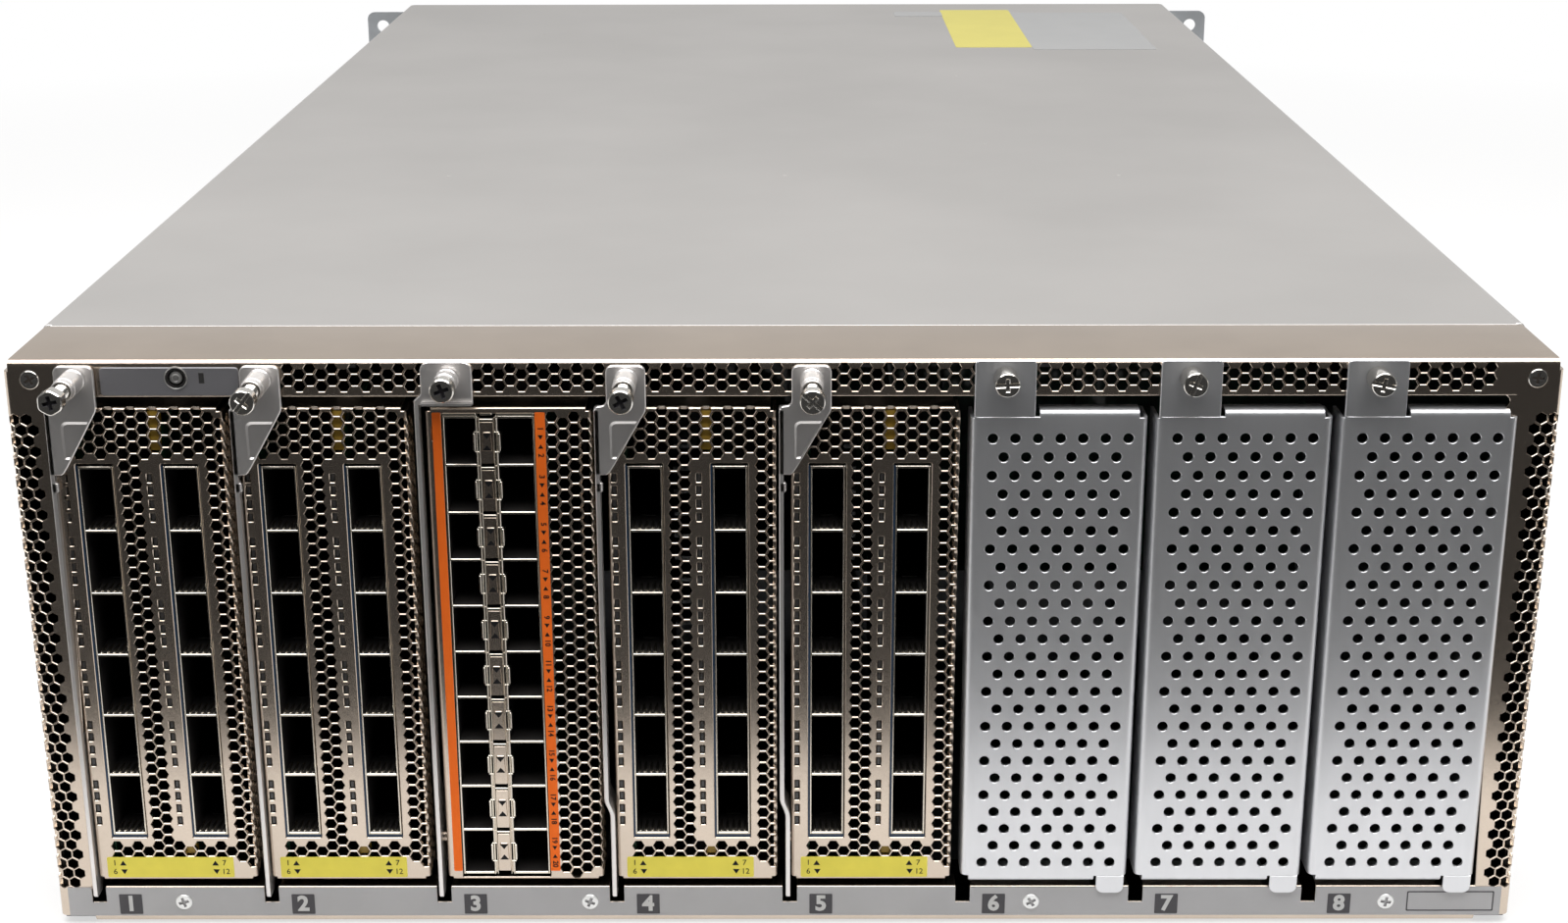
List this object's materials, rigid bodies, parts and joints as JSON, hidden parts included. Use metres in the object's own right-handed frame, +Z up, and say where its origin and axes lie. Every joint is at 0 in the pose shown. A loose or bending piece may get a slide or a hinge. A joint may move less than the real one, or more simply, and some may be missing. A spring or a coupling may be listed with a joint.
{
  "type": "modular chassis switch",
  "caption": "Rack-mounted modular network switch with port modules, ejector levers and blank panels in front, and fan modules and power supplies behind.",
  "frame": {"origin": "centre of the underside, half way between the foremost screw heads and the handles at the back", "axes": "+Z up, -Y out of the front with the port modules, +X to the right as seen from the front"},
  "size_m": [0.4826, 0.8, 0.177],
  "materials": {
    "nickel_steel": "satin nickel plate",
    "nickel_cage": "bright nickel plate",
    "galvanised": "satin zinc coat",
    "zinc_steel": "bluish zinc plate",
    "blank_steel": "satin nickel plate",
    "screw_steel": "bright",
    "grey_label": "printed film",
    "button_cap": "gloss",
    "black_plastic": "matt",
    "latch_plastic": "matt",
    "circuit_board": "solder mask"
  },
  "bodies": {
    "chassis": {"chassis_base": "galvanised", "top_cover": "galvanised", "front_bezel": "nickel_steel", "slot_label_strip": "grey_label", "id_plate": "grey_label", "card_guides": "black_plastic", "midplane_board": "circuit_board", "rear_frame": "galvanised", "rack_ear_left": "zinc_steel", "rack_ear_right": "zinc_steel", "management_panel": "nickel_steel"},
    "button": {"beacon_button": "button_cap"},
    "module_1": {"module_tray_1": "nickel_steel", "port_cages_1": "nickel_cage", "port_boards_1": "circuit_board"},
    "lever_1": {"ejector_lever_1": "nickel_steel"},
    "module_2": {"module_tray_2": "nickel_steel", "port_cages_2": "nickel_cage", "port_boards_2": "circuit_board"},
    "lever_2": {"ejector_lever_2": "nickel_steel"},
    "module_3": {"module_tray_3": "nickel_steel", "port_cages_3": "nickel_cage", "port_boards_3": "circuit_board"},
    "lever_3": {"ejector_lever_3": "nickel_steel"},
    "module_4": {"module_tray_4": "nickel_steel", "port_cages_4": "nickel_cage", "port_boards_4": "circuit_board"},
    "lever_4": {"ejector_lever_4": "nickel_steel"},
    "module_5": {"module_tray_5": "nickel_steel", "port_cages_5": "nickel_cage", "port_boards_5": "circuit_board"},
    "lever_5": {"ejector_lever_5": "nickel_steel"},
    "screw_1": {"captive_screw_1": "screw_steel"},
    "screw_2": {"captive_screw_2": "screw_steel"},
    "screw_3": {"captive_screw_3": "screw_steel"},
    "screw_4": {"captive_screw_4": "screw_steel"},
    "screw_5": {"captive_screw_5": "screw_steel"},
    "blank_6": {"blank_panel_6": "blank_steel"},
    "screw_6": {"captive_screw_6": "screw_steel"},
    "blank_7": {"blank_panel_7": "blank_steel"},
    "screw_7": {"captive_screw_7": "screw_steel"},
    "blank_8": {"blank_panel_8": "blank_steel"},
    "screw_8": {"captive_screw_8": "screw_steel"},
    "fan_1": {"fan_frame_1": "black_plastic"},
    "rotor_1": {"fan_rotor_1": "black_plastic"},
    "supply_1": {"power_supply_1": "galvanised"},
    "latch_1": {"supply_latch_1": "latch_plastic"},
    "fan_2": {"fan_frame_2": "black_plastic"},
    "rotor_2": {"fan_rotor_2": "black_plastic"},
    "supply_2": {"power_supply_2": "galvanised"},
    "latch_2": {"supply_latch_2": "latch_plastic"},
    "fan_3": {"fan_frame_3": "black_plastic"},
    "rotor_3": {"fan_rotor_3": "black_plastic"},
    "supply_3": {"power_supply_3": "galvanised"},
    "latch_3": {"supply_latch_3": "latch_plastic"},
    "fan_4": {"fan_frame_4": "black_plastic"},
    "rotor_4": {"fan_rotor_4": "black_plastic"},
    "supply_4": {"power_supply_4": "galvanised"},
    "latch_4": {"supply_latch_4": "latch_plastic"}
  },
  "joints": [
    {"name": "button_press", "type": "slide", "parent": "chassis", "child": "button", "axis": [0, 1, 0], "range_m": [0, 0.001], "stiffness_N_per_m": 800},
    {"name": "module_1_slide", "type": "slide", "parent": "chassis", "child": "module_1", "axis": [0, -1, 0], "range_m": [0, 0.28]},
    {"name": "lever_1_swing", "type": "hinge", "parent": "module_1", "child": "lever_1", "pos_m": [-0.2076, -0.369, 0.026], "axis": [1, 0, 0], "range_deg": [0, 70]},
    {"name": "module_2_slide", "type": "slide", "parent": "chassis", "child": "module_2", "axis": [0, -1, 0], "range_m": [0, 0.28]},
    {"name": "lever_2_swing", "type": "hinge", "parent": "module_2", "child": "lever_2", "pos_m": [-0.1554, -0.369, 0.026], "axis": [1, 0, 0], "range_deg": [0, 70]},
    {"name": "module_3_slide", "type": "slide", "parent": "chassis", "child": "module_3", "axis": [0, -1, 0], "range_m": [0, 0.28]},
    {"name": "lever_3_swing", "type": "hinge", "parent": "module_3", "child": "lever_3", "pos_m": [-0.1032, -0.369, 0.026], "axis": [1, 0, 0], "range_deg": [0, 70]},
    {"name": "module_4_slide", "type": "slide", "parent": "chassis", "child": "module_4", "axis": [0, -1, 0], "range_m": [0, 0.28]},
    {"name": "lever_4_swing", "type": "hinge", "parent": "module_4", "child": "lever_4", "pos_m": [-0.051, -0.369, 0.026], "axis": [1, 0, 0], "range_deg": [0, 70]},
    {"name": "module_5_slide", "type": "slide", "parent": "chassis", "child": "module_5", "axis": [0, -1, 0], "range_m": [0, 0.28]},
    {"name": "lever_5_swing", "type": "hinge", "parent": "module_5", "child": "lever_5", "pos_m": [0.0012, -0.369, 0.026], "axis": [1, 0, 0], "range_deg": [0, 70]},
    {"name": "screw_1_turn", "type": "hinge", "parent": "lever_1", "child": "screw_1", "pos_m": [-0.199, -0.38, 0.1719], "axis": [0, 1, 0], "continuous": true},
    {"name": "screw_2_turn", "type": "hinge", "parent": "lever_2", "child": "screw_2", "pos_m": [-0.1468, -0.38, 0.1719], "axis": [0, 1, 0], "continuous": true},
    {"name": "screw_3_turn", "type": "hinge", "parent": "lever_3", "child": "screw_3", "pos_m": [-0.0942, -0.38, 0.1719], "axis": [0, 1, 0], "continuous": true},
    {"name": "screw_4_turn", "type": "hinge", "parent": "lever_4", "child": "screw_4", "pos_m": [-0.0441, -0.38, 0.1719], "axis": [0, 1, 0], "continuous": true},
    {"name": "screw_5_turn", "type": "hinge", "parent": "lever_5", "child": "screw_5", "pos_m": [0.0081, -0.38, 0.1719], "axis": [0, 1, 0], "continuous": true},
    {"name": "blank_6_slide", "type": "slide", "parent": "chassis", "child": "blank_6", "axis": [0, -1, 0], "range_m": [0, 0.03]},
    {"name": "screw_6_turn", "type": "hinge", "parent": "blank_6", "child": "screw_6", "pos_m": [0.0624, -0.38, 0.1719], "axis": [0, 1, 0], "continuous": true},
    {"name": "blank_7_slide", "type": "slide", "parent": "chassis", "child": "blank_7", "axis": [0, -1, 0], "range_m": [0, 0.03]},
    {"name": "screw_7_turn", "type": "hinge", "parent": "blank_7", "child": "screw_7", "pos_m": [0.1146, -0.38, 0.1719], "axis": [0, 1, 0], "continuous": true},
    {"name": "blank_8_slide", "type": "slide", "parent": "chassis", "child": "blank_8", "axis": [0, -1, 0], "range_m": [0, 0.03]},
    {"name": "screw_8_turn", "type": "hinge", "parent": "blank_8", "child": "screw_8", "pos_m": [0.1668, -0.38, 0.1719], "axis": [0, 1, 0], "continuous": true},
    {"name": "fan_1_slide", "type": "slide", "parent": "chassis", "child": "fan_1", "axis": [0, 1, 0], "range_m": [0, 0.11]},
    {"name": "rotor_1_spin", "type": "hinge", "parent": "fan_1", "child": "rotor_1", "pos_m": [-0.15975, 0.345, 0.116], "axis": [0, 1, 0], "continuous": true},
    {"name": "supply_1_slide", "type": "slide", "parent": "chassis", "child": "supply_1", "axis": [0, 1, 0], "range_m": [0, 0.26]},
    {"name": "latch_1_press", "type": "hinge", "parent": "supply_1", "child": "latch_1", "pos_m": [-0.05, 0.3797, 0.05], "axis": [0, 0, 1], "range_deg": [0, 15]},
    {"name": "fan_2_slide", "type": "slide", "parent": "chassis", "child": "fan_2", "axis": [0, 1, 0], "range_m": [0, 0.11]},
    {"name": "rotor_2_spin", "type": "hinge", "parent": "fan_2", "child": "rotor_2", "pos_m": [-0.05325, 0.345, 0.116], "axis": [0, 1, 0], "continuous": true},
    {"name": "supply_2_slide", "type": "slide", "parent": "chassis", "child": "supply_2", "axis": [0, 1, 0], "range_m": [0, 0.26]},
    {"name": "latch_2_press", "type": "hinge", "parent": "supply_2", "child": "latch_2", "pos_m": [0.036, 0.3797, 0.05], "axis": [0, 0, 1], "range_deg": [0, 15]},
    {"name": "fan_3_slide", "type": "slide", "parent": "chassis", "child": "fan_3", "axis": [0, 1, 0], "range_m": [0, 0.11]},
    {"name": "rotor_3_spin", "type": "hinge", "parent": "fan_3", "child": "rotor_3", "pos_m": [0.05325, 0.345, 0.116], "axis": [0, 1, 0], "continuous": true},
    {"name": "supply_3_slide", "type": "slide", "parent": "chassis", "child": "supply_3", "axis": [0, 1, 0], "range_m": [0, 0.26]},
    {"name": "latch_3_press", "type": "hinge", "parent": "supply_3", "child": "latch_3", "pos_m": [0.122, 0.3797, 0.05], "axis": [0, 0, 1], "range_deg": [0, 15]},
    {"name": "fan_4_slide", "type": "slide", "parent": "chassis", "child": "fan_4", "axis": [0, 1, 0], "range_m": [0, 0.11]},
    {"name": "rotor_4_spin", "type": "hinge", "parent": "fan_4", "child": "rotor_4", "pos_m": [0.15975, 0.345, 0.116], "axis": [0, 1, 0], "continuous": true},
    {"name": "supply_4_slide", "type": "slide", "parent": "chassis", "child": "supply_4", "axis": [0, 1, 0], "range_m": [0, 0.26]},
    {"name": "latch_4_press", "type": "hinge", "parent": "supply_4", "child": "latch_4", "pos_m": [0.208, 0.3797, 0.05], "axis": [0, 0, 1], "range_deg": [0, 15]}
  ]
}
